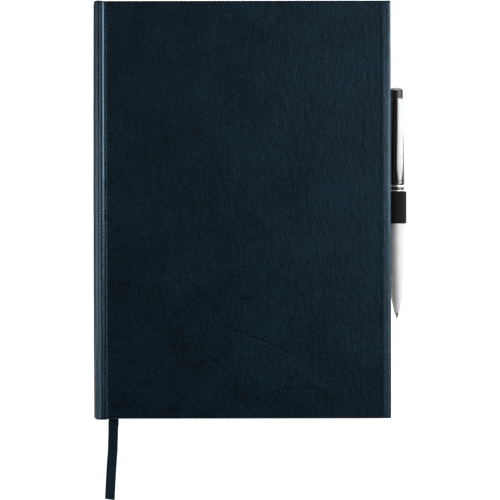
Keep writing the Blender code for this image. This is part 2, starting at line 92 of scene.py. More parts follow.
def surroundings():
    """A dim room: dark overhead and pale towards the horizon."""
    world = bpy.data.worlds.new("studio")
    world.use_nodes = True
    bpy.context.scene.world = world
    tree = world.node_tree
    direction = tree.nodes.new("ShaderNodeTexCoord")
    split = tree.nodes.new("ShaderNodeSeparateXYZ")
    ramp = tree.nodes.new("ShaderNodeValToRGB")
    ramp.color_ramp.elements[0].position = 0.05
    ramp.color_ramp.elements[0].color = (0.05, 0.05, 0.052, 1.0)
    ramp.color_ramp.elements[1].position = 0.75
    ramp.color_ramp.elements[1].color = (0.007, 0.007, 0.0075, 1.0)
    tree.links.new(direction.outputs["Generated"], split.inputs[0])
    tree.links.new(split.outputs["Z"], ramp.inputs["Fac"])
    tree.links.new(ramp.outputs["Color"], tree.nodes["Background"].inputs["Color"])


LAMPS = (  # name, place, width and height in metres, and watts
    ("key", (0.70, 0.16, 0.50), 0.30, 0.50, 5.2),
    ("top", (0.55, 0.12, 0.95), 0.50, 0.60, 1.8),
    ("overhead", (0.12, 0.22, 1.0), 0.9, 0.6, 0.33),
    ("left", (-1.3, -0.02, 1.0), 0.4, 1.3, 10.0),
    ("right", (1.35, -0.15, 0.75), 0.4, 1.3, 1.0),
)


def studio():
    """The lamps, and a white floor that glows a little."""
    bpy.context.scene.view_settings.view_transform = "Standard"
    surroundings()
    for lamp in LAMPS:
        softbox(*lamp)
    half, level = 4.0, -0.3 * MM
    mesh = bpy.data.meshes.new("floor")
    corners = [(-half, -half, level), (half, -half, level), (half, half, level), (-half, half, level)]
    mesh.from_pydata(corners, [], [(0, 1, 2, 3)])
    floor = bpy.data.objects.new("floor", mesh)
    bpy.context.scene.collection.objects.link(floor)
    mesh.materials.append(floor_look())


# Making meshes.


def between(first, last, count):
    """count + 1 evenly spaced values."""
    return [first + (last - first) * i / count for i in range(count + 1)]


def smooth_step(value):
    value = min(max(value, 0.0), 1.0)
    return value * value * (3.0 - 2.0 * value)


def rise(value, start, span):
    """0 up to the start, then smoothly to 1 over the span, both in mm."""
    return smooth_step((value - start * MM) / (span * MM))


def bell(value, middle, width):
    """1 at the middle and nearly 0 at twice the width from it, both in mm."""
    return math.exp(-(((value - middle * MM) / (width * MM)) ** 2))


def through(four, t):
    """Catmull-Rom: the value at t between the second and the third of four."""
    a, b, c, d = four
    bend = (2 * a - 5 * b + 4 * c - d) * t * t + (3 * b - a - 3 * c + d) * t * t * t
    return b + 0.5 * ((c - a) * t + bend)


def along(route, steps):
    """Evenly shared steps on the smooth curve through the route's points."""
    ends = [route[0], *route, route[-1]]
    spans = len(route) - 1
    points = []
    for step in range(steps + 1):
        place = min(step / steps * spans, spans - 1e-9)
        first = int(place)
        four = ends[first : first + 4]
        points.append(Vector([through(axis, place - first) for axis in zip(*four)]))
    return points


def in_mm(points):
    return [tuple(value * MM for value in point) for point in points]


def rough(x, y, z, size):
    """Smooth noise from -1 to 1, with swells about this size."""
    return noise.noise(Vector((x, y, z)) / size)


def faces_of_grid(rows, columns, start=0, flip=False, closed_rows=False, closed_columns=False):
    """Quads between the points of a grid that is stored row by row."""
    faces = []
    for r in range(rows if closed_rows else rows - 1):
        for c in range(columns if closed_columns else columns - 1):
            right, below = (c + 1) % columns, (r + 1) % rows
            corners = (r * columns + c, r * columns + right, below * columns + right, below * columns + c)
            quad = tuple(start + corner for corner in corners)
            faces.append(quad[::-1] if flip else quad)
    return faces


def slab(upper, lower):
    """A thin solid between two grids of points, closed round its edges."""
    rows, columns = len(upper), len(upper[0])
    points = [p for row in upper for p in row] + [p for row in lower for p in row]
    under = rows * columns
    faces = faces_of_grid(rows, columns) + faces_of_grid(rows, columns, under, flip=True)
    rim = list(range(columns))
    rim += [r * columns + columns - 1 for r in range(1, rows)]
    rim += [(rows - 1) * columns + c for c in range(columns - 2, -1, -1)]
    rim += [r * columns for r in range(rows - 2, 0, -1)]
    for here, there in zip(rim, rim[1:] + rim[:1]):
        faces.append((there, here, here + under, there + under))
    return points, faces


def joined(solids):
    """Several solids' points and faces as one set."""
    points, faces = [], []
    for more_points, more_faces in solids:
        start = len(points)
        points += more_points
        faces += [tuple(start + corner for corner in face) for face in more_faces]
    return points, faces


def lattice_box(xs, ys, zs):
    """The outside of a block, as quads through these x, y and z values."""
    index, points, faces = {}, [], []

    def at(*key):
        if key not in index:
            index[key] = len(points)
            points.append(Vector((xs[key[0]], ys[key[1]], zs[key[2]])))
        return index[key]

    last = (len(xs) - 1, len(ys) - 1, len(zs) - 1)
    for axis in range(3):
        one, two = [other for other in range(3) if other != axis]
        for side in (0, last[axis]):
            for i in range(last[one]):
                for j in range(last[two]):
                    quad = []
                    for di, dj in ((0, 0), (1, 0), (1, 1), (0, 1)):
                        key = [side] * 3
                        key[one], key[two] = i + di, j + dj
                        quad.append(at(*key))
                    faces.append(tuple(quad))
    return points, faces


def tidy_mesh(mesh, crisp):
    """Faces outwards and smooth, with edges sharper than crisp degrees left sharp."""
    shape = bmesh.new()
    shape.from_mesh(mesh)
    bmesh.ops.recalc_face_normals(shape, faces=shape.faces)
    for face in shape.faces:
        face.smooth = True
    for edge in shape.edges:
        edge.smooth = edge.calc_face_angle(0.0) < math.radians(crisp)
    shape.to_mesh(mesh)
    shape.free()


def piece(name, solid, look, stands_for, crisp=40.0):
    """A new piece that stands for CAD nodes. Its rest positions are kept for its material."""
    mesh = bpy.data.meshes.new(name)
    mesh.from_pydata(solid[0], [], solid[1])
    tidy_mesh(mesh, crisp)
    kept = mesh.attributes.new("rest", "FLOAT_VECTOR", "POINT")
    kept.data.foreach_set("vector", [value for v in mesh.vertices for value in v.co])
    mesh.materials.append(look)
    made = bpy.data.objects.new(name, mesh)
    bpy.context.scene.collection.objects.link(made)
    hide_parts(*stands_for)
    return made


# Making materials.


def surface(look):
    """The sockets of a material's own shader."""
    return look.node_tree.nodes["Principled BSDF"].inputs


def tune(look, socket, value):
    surface(look)[socket].default_value = value


def new_look(name, roughness=0.5, metallic=0.0, specular=0.5):
    look = bpy.data.materials.new(name)
    look.use_nodes = True
    tune(look, "Roughness", roughness)
    tune(look, "Metallic", metallic)
    tune(look, "Specular IOR Level", specular)
    return look


def node(look, kind, inputs=None, **settings):
    """Adds a node, sets its properties, and fills or links its inputs."""
    made = look.node_tree.nodes.new("ShaderNode" + kind)
    for name, value in settings.items():
        setattr(made, name, value)
    for name, value in (inputs or {}).items():
        socket = made.inputs[name]
        if isinstance(value, bpy.types.NodeSocket):
            look.node_tree.links.new(value, socket)
        else:
            socket.default_value = value
    return made


UNSTRETCHED = (1.0, 1.0, 1.0)
BRUSHED = (1.0, 4.0, 1.0)


def place(look, on_cad=False, stretch=UNSTRETCHED):
    """Where a point lies on the piece at rest, in metres."""
    if on_cad:
        source = node(look, "TexCoord").outputs["Object"]
    else:
        source = node(look, "Attribute", attribute_name="rest").outputs["Vector"]
    if stretch == UNSTRETCHED:
        return source
    scaled = node(look, "VectorMath", {0: source, 1: stretch}, operation="MULTIPLY")
    return scaled.outputs[0]


def speckle(look, where, size, detail=3.0, rough_share=0.5):
    """Noise whose features are about size across."""
    inputs = {"Vector": where, "Scale": 1.0 / size, "Detail": detail, "Roughness": rough_share}
    return node(look, "TexNoise", inputs).outputs["Fac"]


def cells(look, where, size, softness=0.6):
    """Rounded cells of about this size, low in the middle."""
    inputs = {"Vector": where, "Scale": 1.0 / size, "Smoothness": softness}
    return node(look, "TexVoronoi", inputs, feature="SMOOTH_F1").outputs["Distance"]


def maths(look, operation, first, second=0.0, third=0.0):
    inputs = {0: first, 1: second, 2: third}
    return node(look, "Math", inputs, operation=operation).outputs[0]


def axis(look, where, name):
    return node(look, "SeparateXYZ", {0: where}).outputs[name]


def ramp(look, factor, stops):
    """Colours at positions along a factor."""
    made = node(look, "ValToRGB", {"Fac": factor})
    elements = made.color_ramp.elements
    while len(elements) < len(stops):
        elements.new(0.5)
    for element, (position, colour) in zip(elements, stops):
        element.position = position
        element.color = (*colour, 1.0)
    return made.outputs["Color"]


def paint(look, socket, value):
    look.node_tree.links.new(value, surface(look)[socket])


def mapped(look, factor, low, high):
    """A factor from 0 to 1 spread between two values."""
    inputs = {"Value": factor, "To Min": low, "To Max": high}
    return node(look, "MapRange", inputs).outputs[0]


def raise_surface(look, height, depth, strength=1.0, over=None):
    """Bump of this depth in metres, on top of an earlier one."""
    inputs = {"Height": height, "Distance": depth, "Strength": strength}
    if over:
        inputs["Normal"] = over
    normal = node(look, "Bump", inputs).outputs["Normal"]
    paint(look, "Normal", normal)
    return normal


def floor_look():
    look = new_look("floor", roughness=0.9, specular=0.1)
    tune(look, "Base Color", (0.88, 0.88, 0.88, 1.0))
    tune(look, "Emission Color", (1.0, 1.0, 1.0, 1.0))
    tune(look, "Emission Strength", 0.85)
    return look


CREASES = (  # height, slope and bend of the line, then the middle and half-length along x, in mm
    (-74.2, -0.405, 0.0, 10.0, 22.0),
    (-119.4, 0.747, -0.0108, 27.0, 30.0),
    (-54.1, 0.39, 0.0, -0.5, 6.0),
)


def creases(look, where):
    """Thin crease lines in the front cover's leather, 0 to 1. They shape the leather's bump and also darken
    its colour as painted shade.
    """
    x = maths(look, "DIVIDE", axis(look, where, "X"), MM)
    y = maths(look, "DIVIDE", axis(look, where, "Y"), MM)
    on_front = maths(look, "GREATER_THAN", axis(look, where, "Z"), BOOK_THICK / 2)
    wander = maths(look, "MULTIPLY_ADD", speckle(look, where, 9.0 * MM, 3.0), 5.0, -2.5)
    y = maths(look, "ADD", y, wander)
    total = None
    for height, slope, bend, middle, half in CREASES:
        line = maths(look, "MULTIPLY_ADD", x, bend, slope)
        line = maths(look, "MULTIPLY_ADD", line, x, height)
        off = maths(look, "ABSOLUTE", maths(look, "SUBTRACT", y, line))
        fold = maths(look, "MAXIMUM", maths(look, "MULTIPLY_ADD", off, -1.0 / 1.3, 1.0), 0.0)
        along_it = maths(look, "ABSOLUTE", maths(look, "SUBTRACT", x, middle))
        fade = maths(look, "MAXIMUM", maths(look, "MULTIPLY_ADD", along_it, -1.0 / half, 1.0), 0.0)
        fold = maths(look, "MULTIPLY", fold, maths(look, "POWER", fade, 0.5))
        total = fold if total is None else maths(look, "MAXIMUM", total, fold)
    return maths(look, "MULTIPLY", total, on_front)


def leather_look():
    """Navy leather with a fine pressed grain and slow changes of tone."""
    look = new_look("navy leather", specular=0.5)
    tune(look, "Specular Tint", (0.47, 0.76, 1.0, 1.0))
    where = place(look)
    clouds = speckle(look, where, 26.0 * MM, 3.0)
    patches = speckle(look, where, 5.0 * MM, 3.0)
    flecks = speckle(look, where, 1.1 * MM, 3.0, rough_share=0.7)
    crease_relief_and_shade = creases(look, where)
    tone = maths(look, "MULTIPLY_ADD", flecks, 0.5, maths(look, "MULTIPLY", clouds, 0.3))
    tone = maths(look, "MULTIPLY_ADD", patches, 0.2, tone)
    # The darker colour along the crease lines is painted shade; the dents themselves come from the last bump
    # below.
    tone = maths(look, "MULTIPLY_ADD", crease_relief_and_shade, -0.10, tone)
    dark, pale = (0.0002, 0.0016, 0.0036), (0.0034, 0.0130, 0.0238)
    paint(look, "Base Color", ramp(look, tone, [(0.40, dark), (0.60, pale)]))
    in_groove = maths(look, "COMPARE", axis(look, where, "X"), -82.9 * MM, 1.4 * MM)
    gloss = maths(look, "MULTIPLY", in_groove, -0.12)
    paint(look, "Roughness", maths(look, "ADD", mapped(look, flecks, 0.25, 0.35), gloss))
    grain = cells(look, where, 0.8 * MM)
    pores = speckle(look, where, 0.45 * MM, 2.0)
    wrinkles = speckle(look, place(look, stretch=(1.0, 0.35, 1.0)), 2.6 * MM, 3.0)
    on_spine = maths(look, "LESS_THAN", axis(look, where, "X"), -81.4 * MM)
    relief = maths(look, "MULTIPLY_ADD", on_spine, -0.45, 0.65)
    first = raise_surface(look, wrinkles, 0.22 * MM, relief)
    second = raise_surface(look, grain, 0.15 * MM, relief, over=first)
    third = raise_surface(look, pores, 0.05 * MM, relief, over=second)
    raise_surface(look, crease_relief_and_shade, -0.12 * MM, 0.5, over=third)
    return look


def paper_look(name, dark, pale, on_cad=False):
    """Uncoated paper: fibres, and slightly uneven white."""
    look = new_look(name, roughness=0.85, specular=0.25)
    where = place(look, on_cad)
    fibres = speckle(look, place(look, on_cad, (1.0, 3.0, 1.0)), 0.7 * MM, 5.0)
    clouds = speckle(look, where, 30.0 * MM, 2.0)
    tone = maths(look, "MULTIPLY_ADD", fibres, 0.6, maths(look, "MULTIPLY", clouds, 0.4))
    paint(look, "Base Color", ramp(look, tone, [(0.35, dark), (0.65, pale)]))
    raise_surface(look, fibres, 0.02 * MM, 0.5)
    return look


PAGE_DARK, PAGE_PALE = (0.70, 0.67, 0.58), (0.80, 0.78, 0.70)
ROW_PITCH = 6.5 * MM
PAGE_TOP, PAGE_FOOT = 103.5 * MM, -110.5 * MM
COLUMNS = (-72.0, -54.0, -33.0, -14.0, 5.0, 24.0, 40.0, 56.0, 78.0)  # mm
HEADER = 2 * ROW_PITCH


def ruled_look():
    """Page paper with the ruled table of a log: rows, columns and a tinted heading strip."""
    look = paper_look("ruled paper", PAGE_DARK, PAGE_PALE)
    paper = surface(look)["Base Color"].links[0].from_socket
    where = place(look)
    x, y = axis(look, where, "X"), axis(look, where, "Y")
    half_line = 0.13 * MM
    to_row = maths(look, "PINGPONG", maths(look, "SUBTRACT", PAGE_TOP, y), ROW_PITCH / 2)
    lines = maths(look, "LESS_THAN", to_row, half_line)
    for column in COLUMNS:
        lines = maths(look, "MAXIMUM", lines, maths(look, "COMPARE", x, column * MM, half_line))
    middle, half = (PAGE_TOP + PAGE_FOOT) / 2, (PAGE_TOP - PAGE_FOOT) / 2
    left, right = COLUMNS[0] * MM, COLUMNS[-1] * MM
    inside = maths(look, "COMPARE", y, middle, half + half_line)
    across = maths(look, "COMPARE", x, (left + right) / 2, (right - left) / 2 + half_line)
    inside = maths(look, "MULTIPLY", inside, across)
    heading = maths(look, "GREATER_THAN", y, PAGE_TOP - HEADER)
    heading = maths(look, "MULTIPLY", maths(look, "MULTIPLY", heading, inside), 0.28)
    ink = maths(look, "MULTIPLY", maths(look, "MULTIPLY", lines, inside), 0.62)
    ink = maths(look, "MAXIMUM", ink, heading)
    mixed = node(look, "MixRGB", {"Fac": ink, "Color1": paper, "Color2": (0.16, 0.27, 0.36, 1.0)})
    paint(look, "Base Color", mixed.outputs["Color"])
    return look


def board_look():
    """Grey millboard with flecks of pulp."""
    look = new_look("grey board", roughness=0.92, specular=0.2)
    where = place(look, on_cad=True)
    pulp = speckle(look, where, 0.9 * MM, 6.0, 0.7)
    stops = [(0.3, (0.14, 0.125, 0.10)), (0.55, (0.27, 0.245, 0.20)), (0.8, (0.40, 0.37, 0.31))]
    paint(look, "Base Color", ramp(look, pulp, stops))
    raise_surface(look, pulp, 0.08 * MM, 0.6)
    return look


def woven(look, where, first, second, pitch):
    """Height of a plain weave whose threads run along two axes."""
    one = maths(look, "PINGPONG", axis(look, where, first), pitch / 2)
    two = maths(look, "PINGPONG", axis(look, where, second), pitch / 2)
    return maths(look, "DIVIDE", maths(look, "MAXIMUM", one, two), pitch / 2)


def gauze_look():
    look = new_look("gauze", roughness=0.95, specular=0.1)
    where = place(look, on_cad=True)
    weave = woven(look, where, "Y", "Z", 0.9 * MM)
    stops = [(0.45, (0.30, 0.27, 0.21)), (0.7, (0.74, 0.71, 0.64))]
    paint(look, "Base Color", ramp(look, weave, stops))
    raise_surface(look, weave, 0.10 * MM)
    return look


BAND_PITCH = 0.9 * MM


def band_look():
    """Silk thread wound round a cord in navy and cream turns."""
    look = new_look("band thread", roughness=0.45, specular=0.5)
    where = place(look)
    turn = maths(look, "PINGPONG", axis(look, where, "Z"), BAND_PITCH)
    stops = [(0.46, (0.020, 0.032, 0.052)), (0.54, (0.62, 0.59, 0.50))]
    share = maths(look, "DIVIDE", turn, BAND_PITCH)
    paint(look, "Base Color", ramp(look, share, stops))
    fibres = speckle(look, place(look, stretch=(1.0, 1.0, 6.0)), 0.5 * MM)
    raise_surface(look, fibres, 0.03 * MM, 0.6)
    tune(look, "Sheen Weight", 0.3)
    return look


def ribbon_look():
    """Woven satin: fine cross picks and a soft sheen."""
    look = new_look("satin ribbon", specular=0.12)
    where = place(look)
    picks = maths(look, "PINGPONG", axis(look, where, "Y"), 0.18 * MM)
    picks = maths(look, "DIVIDE", picks, 0.18 * MM)
    warp = speckle(look, place(look, stretch=(1.0, 0.06, 1.0)), 0.22 * MM, 3.0)
    stops = [(0.3, (0.0065, 0.0160, 0.0240)), (0.7, (0.0110, 0.0250, 0.0370))]
    paint(look, "Base Color", ramp(look, warp, stops))
    paint(look, "Roughness", mapped(look, warp, 0.34, 0.5))
    first = raise_surface(look, picks, 0.02 * MM, 0.35)
    raise_surface(look, warp, 0.02 * MM, 0.4, over=first)
    tune(look, "Specular Tint", (0.50, 0.80, 1.0, 1.0))
    return look


def elastic_look():
    """Black elastic webbing: cross picks over the modelled ribs."""
    look = new_look("black elastic", roughness=0.8, specular=0.15)
    where = place(look)
    picks = woven(look, where, "X", "Z", 0.55 * MM)
    fuzz = speckle(look, where, 0.4 * MM, 4.0)
    stops = [(0.3, (0.003, 0.003, 0.0032)), (0.7, (0.009, 0.009, 0.0095))]
    paint(look, "Base Color", ramp(look, fuzz, stops))
    first = raise_surface(look, picks, 0.05 * MM, 0.6)
    raise_surface(look, fuzz, 0.04 * MM, 0.6, over=first)
    tune(look, "Sheen Weight", 0.10)
    tune(look, "Sheen Roughness", 0.5)
    return look


def metal_look(name, dark, pale, gloss, marks_across, depth, on_cad=False, brushed=False, metallic=1.0):
    """Metal whose tone and gloss change a little with its brushing or handling.

    gloss is the least and the greatest roughness, and marks_across and depth are in millimetres.
    """
    look = new_look(name, metallic=metallic)
    where = place(look, on_cad, BRUSHED if brushed else UNSTRETCHED)
    marks = speckle(look, where, marks_across * MM, 4.0, 0.6)
    smudges = speckle(look, place(look, on_cad), 6.0 * MM, 2.0)
    paint(look, "Base Color", ramp(look, smudges, [(0.3, dark), (0.7, pale)]))
    both = maths(look, "MULTIPLY_ADD", marks, 0.6, maths(look, "MULTIPLY", smudges, 0.4))
    paint(look, "Roughness", mapped(look, both, *gloss))
    raise_surface(look, marks, depth * MM, 0.5)
    return look


def plastic_look(name, dark, pale, gloss, depth, on_cad=False, coat=0.0):
    """Moulded or lacquered plastic with a faint orange peel of this depth in millimetres."""
    look = new_look(name)
    where = place(look, on_cad)
    tone = speckle(look, where, 5.0 * MM, 3.0)
    peel = speckle(look, where, 0.5 * MM, 2.0)
    paint(look, "Base Color", ramp(look, tone, [(0.3, dark), (0.7, pale)]))
    paint(look, "Roughness", mapped(look, tone, *gloss))
    raise_surface(look, peel, depth * MM, 0.4)
    tune(look, "Coat Weight", coat)
    tune(look, "Coat Roughness", 0.05)
    return look


# The ribbon bookmark.

RIBBON_WIDTH = 6.0 * MM
RIBBON_THICK = 0.22 * MM


def ribbon_route():
    """The CAD ribbon's own route: between two signatures, out of the tail and down."""
    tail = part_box("signature_04")[0].y
    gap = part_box("signature_05")[0].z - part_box("signature_04")[1].z
    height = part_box("signature_04")[1].z + gap / 2
    floor = RIBBON_THICK / 2 + 0.1 * MM
    ahead = [(0.0, 0.0, 0.0), (4.0, 0.1, 0.2), (8.0, 0.2, 1.1), (13.0, 0.4, 3.2), (18.0, 0.7, 5.6)]
    ahead.append((23.0, 0.9, 7.6))
    route = [(-82.0 * MM, -tail - 2.0 * MM, height)]
    route += [(-80.4 * MM, 60.0 * MM, height), (-79.2 * MM, -30.0 * MM, height)]
    for out, left, drop in ahead:
        route.append((-77.8 * MM - left * MM, tail - out * MM, height - drop * MM))
    route += [
        (-79.2 * MM, tail - 29.0 * MM, floor + 0.3 * MM),
        (-79.8 * MM, tail - 38.0 * MM, floor),
        (-80.6 * MM, tail - 53.1 * MM, floor),
    ]
    return route


def ribbon():
    """A woven strip with slightly thicker selvedges, cut a little askew at its end."""
    centre = along(ribbon_route(), 240)
    shares = (-1.0, -0.97, -0.9, -0.8, -0.5, 0.0, 0.5, 0.8, 0.9, 0.97, 1.0)
    thick = (0.45, 0.8, 1.0, 0.8, 0.75, 0.75, 0.75, 0.8, 1.0, 0.8, 0.45)
    upper, lower = [], []
    for step, here in enumerate(centre):
        ahead = centre[min(step + 1, len(centre) - 1)] - centre[max(step - 1, 0)]
        across = ahead.cross(Vector((0.0, 0.0, 1.0))).normalized()
        up = across.cross(ahead).normalized()
        last_part = smooth_step((step - len(centre) + 12) / 11.0)
        row_up, row_down = [], []
        for share, part in zip(shares, thick):
            skew = ahead.normalized() * (-share * 0.35 * MM * last_part)
            spot = here + across * (share * RIBBON_WIDTH / 2) + skew
            row_up.append(spot + up * (part * RIBBON_THICK / 2))
            row_down.append(spot - up * (part * RIBBON_THICK / 2))
        upper.append(row_up)
        lower.append(row_down)
    made = piece("ribbon", slab(upper, lower), ribbon_look(), ["ribbon_bookmark"])
    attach(made, "page_block")


# The case: leather over boards.

TURN_IN = 15.0 * MM
TURN_IN_THICK = 0.22 * MM
TAB_THICK = 0.4 * MM  # the loop's tab, let into the back board
TAB_START_X = 64.0 * MM
EDGE_ROLL = 5.5 * MM  # how far in the fore-edge's rounding reaches
EDGE_DROP = 1.25 * MM
END_ROLL, CORNER_ROLL, FOOT_ROLL = 0.8 * MM, 0.6 * MM, 0.35 * MM
SAME = 1e-7  # metres; nearer to a face than this is on it
LOOP_LOW, LOOP_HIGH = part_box("pen_loop")[0].y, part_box("pen_loop")[1].y


def eased(one, two, reach_one, reach_two):
    """How far a point this far in from two sides moves in as their edge is rounded."""
    u, v = 1.0 - one / reach_one, 1.0 - two / reach_two
    if u <= 0.0 or v <= 0.0:
        return 0.0, 0.0
    share = max(u, v) / math.hypot(u, v)
    return reach_one * (1.0 - u * share) - one, reach_two * (1.0 - v * share) - two


def round_off(p, first, second, reach_first, reach_second):
    """Rounds the edge between two sides, each given as its axis, its way in and the distance from it."""
    moves = eased(first[2], second[2], reach_first, reach_second)
    for side, moved in zip((first, second), moves):
        p[side[0]] += side[1] * moved


def cover_lift(x, y, from_fore_edge, seed):
    """The small hills of glued leather on a cover's outer face."""
    swell = 0.05 * MM * rough(x, y, seed, 38.0 * MM) + 0.015 * MM * rough(x, y, seed, 9.0 * MM)
    lip = 0.07 * MM * bell(from_fore_edge, 4.7, 1.0)
    lip *= 1.0 + 0.5 * rough(x, y, seed + 0.5, 25.0 * MM)
    crease_y = -108.0 * MM + 2.5 * MM * math.sin((x - 8.0 * MM) / (15.0 * MM))
    ends = rise(x, 2.0, 10.0) * rise(-x, -56.0, 12.0)
    crease = 0.035 * MM * bell(y - crease_y, 0.0, 1.3) * ends
    return swell + lip + crease


def on_side(side, name, solid, look, node_name):
    """A piece at the front of the book, or the same shape mirrored to its back."""
    points, faces = solid
    if side == "back":
        points = [Vector((p.x, p.y, BOOK_THICK - p.z)) for p in points]
    return piece(f"{side}_{name}", (points, faces), look, [node_name])


def bend_with_cover(made):
    """Bakes the piece's placement into its mesh."""
    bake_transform(made)


def spread(low, high, edge, step):
    """Values from low to high: the given distances in from both ends, and even steps between."""
    start, stop = low + edge[-1], high - edge[-1]
    count = max(2, round((stop - start) / step))
    middle = between(start, stop, count)[1:-1]
    return [low + d for d in edge] + middle + [high - d for d in reversed(edge)]


def cover_leather(side, look):
    """A board's leather: rolled over the fore-edge, crisp elsewhere, turned in on three sides."""
    low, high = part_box("front_leather")
    window_x, window_y = high.x - TURN_IN, high.y - TURN_IN
    small = [d * MM for d in (0.0, 0.1, 0.22, 0.38, 0.55, 0.75, 1.2, 2.2, 4.0)]
    xs = spread(low.x, high.x - 7.5 * MM, small[:8], 3.2 * MM)[:-8]
    xs += [high.x - d * MM for d in (8.6, 7.4, 6.6, 6.0, 5.5, 5.0, 4.5, 4.0, 3.5, 3.0, 2.5, 2.0, 1.6)]
    xs += [high.x - d * MM for d in (1.2, 0.85, 0.55, 0.3, 0.12, 0.0)]
    xs = sorted(set(xs + [window_x, window_x + 0.25 * MM]))
    ys = spread(low.y, high.y, small, 3.0 * MM)
    ys += [window_y, window_y + 0.25 * MM, -window_y, -window_y - 0.25 * MM]
    tab_low, tab_high = LOOP_LOW - 0.3 * MM, LOOP_HIGH + 0.3 * MM
    ys += [tab_low, tab_low - 0.12 * MM, tab_high, tab_high + 0.12 * MM]
    ys = sorted(set(ys))
    zs = [high.z - d * MM for d in (3.6, 3.5, 3.4, 3.25, 2.6, 2.1, 1.7, 1.35, 1.0, 0.7, 0.45, 0.25, 0.1, 0.0)]
    points, faces = lattice_box(xs, ys, zs)
    seed = 1.0 if side == "front" else 7.0
    for p in points:
        x, y, z = p
        fore_edge, hinge_edge = (0, -1, high.x - x), (0, 1, x - low.x)
        ends = (1, -1, high.y - y), (1, 1, y - low.y)
        top, foot = (2, -1, high.z - z), (2, 1, z - low.z)
        if top[2] < SAME:
            away = min(rise(inset, 0.0, 6.0) for *_, inset in (hinge_edge, *ends))
            p.z += cover_lift(x, y, high.x - x, seed) * away
        if foot[2] < SAME:
            in_window = x < window_x + SAME and abs(y) < window_y + SAME
            in_notch = side == "back" and x > TAB_START_X and tab_low - SAME < y < tab_high + SAME
            if in_window:
                p.z += TURN_IN_THICK
            elif in_notch:
                p.z += TAB_THICK
        drop = EDGE_DROP * (1.0 - 0.4 * rise(y, 60.0, 55.0))
        for edge, roll, fall in ((fore_edge, EDGE_ROLL, drop), (hinge_edge, 0.50 * MM, 0.50 * MM)):
            round_off(p, edge, top, roll, fall)
            round_off(p, edge, foot, FOOT_ROLL, FOOT_ROLL)
            for end in ends:
                round_off(p, edge, end, CORNER_ROLL, CORNER_ROLL)
        for end in ends:
            round_off(p, end, top, END_ROLL, END_ROLL)
            round_off(p, end, foot, FOOT_ROLL, FOOT_ROLL)
    made = on_side(side, "cover_leather", (points, faces), look, side + "_leather")
    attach(made, side + "_cover")


# From the middle of the spine round the shoulder, down into the groove and up the board's side.
SPINE_LINE = in_mm(
    [
        (-89.10, 9.50), (-89.10, 12.50), (-89.10, 15.00), (-89.09, 15.64), (-89.05, 15.92),
        (-88.94, 16.14), (-88.76, 16.32), (-88.42, 16.60), (-88.04, 16.91), (-87.70, 17.16),
        (-87.34, 17.36), (-86.90, 17.58), (-86.25, 17.90), (-85.65, 18.20), (-85.15, 18.44),
        (-84.75, 18.60), (-84.46, 18.66), (-84.20, 18.67), (-83.95, 18.63), (-83.70, 18.56),
        (-83.48, 18.46), (-83.26, 18.32), (-82.96, 18.12), (-82.76, 18.02), (-82.50, 17.96),
        (-82.10, 17.94), (-81.68, 17.96), (-81.52, 18.06), (-81.38, 18.20), (-81.28, 18.30),
    ]
)
LEATHER = 0.5 * MM


def line_normals(line):
    """The outward direction at each (x, z) of a line that runs from the spine to the board."""
    normals = []
    for i in range(len(line)):
        before, after = line[max(i - 1, 0)], line[min(i + 1, len(line) - 1)]
        ahead = Vector((after[0] - before[0], 0.0, after[1] - before[1])).normalized()
        normals.append(Vector((-ahead.z, 0.0, ahead.x)))
    return normals


def corner_drop(x, radius):
    """How much shorter the leather is this near the spine's outside, to round its corner."""
    share = min(max(1.0 - (x + 89.1 * MM) / radius, 0.0), 1.0)
    return radius * (1.0 - math.sqrt(1.0 - share * share))


def spine_leather(side, look):
    """Half of the spine's leather, with its ends turned in over the spine board."""
    line = [tuple(p) for p in along(SPINE_LINE, 3 * (len(SPINE_LINE) - 1))]
    normals = line_normals(line)
    lip = [(d * MM, s * MM) for d, s in ((0.0, 0.62), (0.05, 0.4), (0.17, 0.2), (0.38, 0.06), (0.7, 0.0))]
    lip += [(1.2 * MM, 0.0), (2.2 * MM, 0.0)]
    inner_end = COVER_HALF - 2.2 * MM
    middle = between(-inner_end, inner_end, 110)[1:-1]
    stations = [("tail", d, s) for d, s in lip]
    stations += [("middle", y, 0.0) for y in middle]
    stations += [("head", d, s) for d, s in reversed(lip)]
    seed = 3.0 if side == "front" else 11.0
    outer, inner = [], []
    for end, distance, sunk in stations:
        row_out, row_in = [], []
        for (x, z), normal in zip(line, normals):
            proud = 1.0 - rise(x, -82.2, 1.4)
            proud_head = 1.0 - rise(x, -86.0, 3.0)
            if end == "head":
                y = COVER_HALF + 0.4 * MM * proud_head - corner_drop(x, 1.3 * MM) - distance
            elif end == "tail":
                y = -COVER_HALF - 0.65 * MM * proud + corner_drop(x, 1.8 * MM) + distance
            else:
                y = distance
            swell = 0.06 * MM * rough(x * 7.0, y, seed, 13.0 * MM)
            swell += 0.04 * MM * rough(x * 2.0, y, seed + 4.0, 5.0 * MM)
            swell *= 1.0 - rise(x, -82.2, 0.5)
            swell -= 0.30 * MM * bell(x, -86.1, 0.30) * (0.75 + 0.25 * y / COVER_HALF)
            shallow = rise(-y, 45.0, 60.0)
            swell += 0.20 * MM * shallow * bell(x, -82.45, 0.75)
            swell -= 0.22 * MM * shallow * bell(x, -87.8, 0.7)
            swell += 0.25 * MM * (1.0 - (y / COVER_HALF) ** 2) * max(0.0, -normal.x) ** 2
            near_end = 1.0 - rise(distance, 0.0, 2.0) if end != "middle" else 0.0
            thick = LEATHER + near_end * (1.4 * MM * proud + 0.25 * MM)
            spot = Vector((x, y, z)) + normal * (swell - sunk)
            row_out.append(spot)
            row_in.append(Vector((x, y, z)) - normal * max(thick, sunk + 0.15 * MM))
        outer.append(row_out)
        inner.append(row_in)
    made = on_side(side, "spine_leather", slab(outer, inner), look, "spine_leather")
    bend_with_cover(made)
